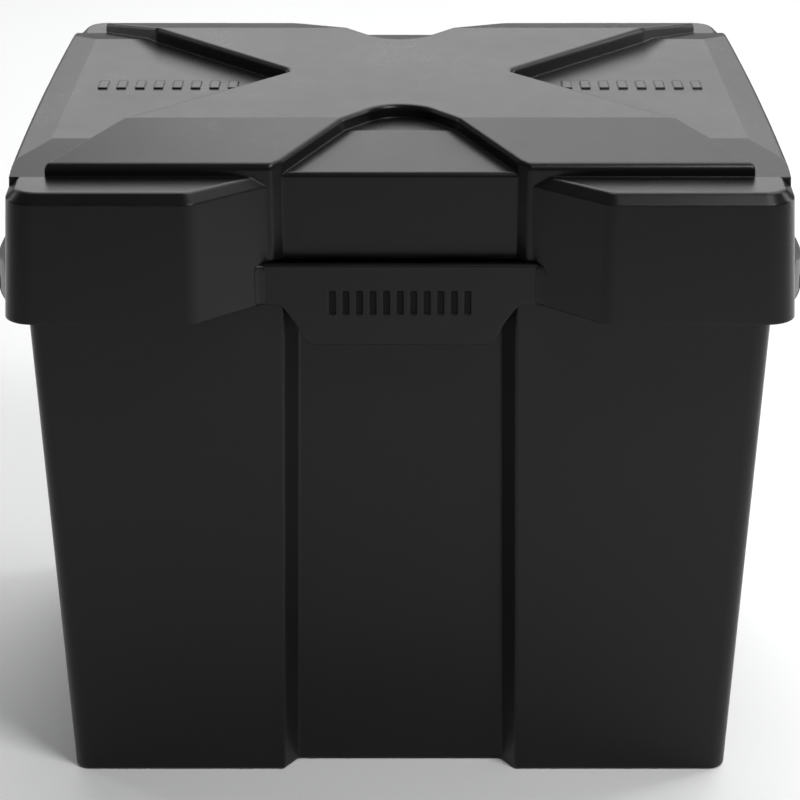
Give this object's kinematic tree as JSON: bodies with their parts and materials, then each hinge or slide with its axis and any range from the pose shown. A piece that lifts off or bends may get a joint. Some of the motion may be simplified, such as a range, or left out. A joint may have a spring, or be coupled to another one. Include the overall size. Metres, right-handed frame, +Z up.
{
  "type": "battery box",
  "caption": "Black moulded battery box with a lift-off lid, snap tabs at front and back and a carry handle at each end.",
  "frame": {"origin": "middle of the base, on the surface the box stands on", "axes": "+X along the long side, towards the right-hand handle; front faces -Y; +Z up"},
  "size_m": [0.3552, 0.2712, 0.2876],
  "materials": {
    "tub_plastic": "fine grained black polypropylene",
    "lid_plastic": "fine grained black polypropylene",
    "handle_plastic": "fine grained black nylon",
    "black_rubber": "matt black rubber",
    "spacer_plastic": "dark grey polypropylene",
    "steel": "zinc plated steel",
    "stainless": "stainless steel"
  },
  "bodies": {
    "tub_body": {"tub": "tub_plastic", "floor_mat": "black_rubber", "rim_trim": "black_rubber", "left_spacer": "spacer_plastic", "right_spacer": "spacer_plastic", "left_cable_grommet": "black_rubber", "right_cable_grommet": "black_rubber", "left_handle": "handle_plastic", "left_grip_pad": "black_rubber", "left_handle_screws": "stainless", "left_backing_plate": "steel", "left_lock_nuts": "steel", "right_handle": "handle_plastic", "right_grip_pad": "black_rubber", "right_handle_screws": "stainless", "right_backing_plate": "steel", "right_lock_nuts": "steel"},
    "lid_body": {"lid": "lid_plastic"},
    "front_tab_body": {"front_snap_tab": "lid_plastic"},
    "rear_tab_body": {"rear_snap_tab": "lid_plastic"}
  },
  "joints": [
    {"name": "lid_lift", "type": "slide", "parent": "tub_body", "child": "lid_body", "axis": [0, 0, 1], "range_m": [0, 0.16]},
    {"name": "front_tab_flex", "type": "hinge", "parent": "lid_body", "child": "front_tab_body", "pos_m": [0, -0.1126, 0.2387], "axis": [-1, 0, 0], "range_deg": [0, 9]},
    {"name": "rear_tab_flex", "type": "hinge", "parent": "lid_body", "child": "rear_tab_body", "pos_m": [0, 0.1126, 0.2387], "axis": [1, 0, 0], "range_deg": [0, 9]}
  ]
}
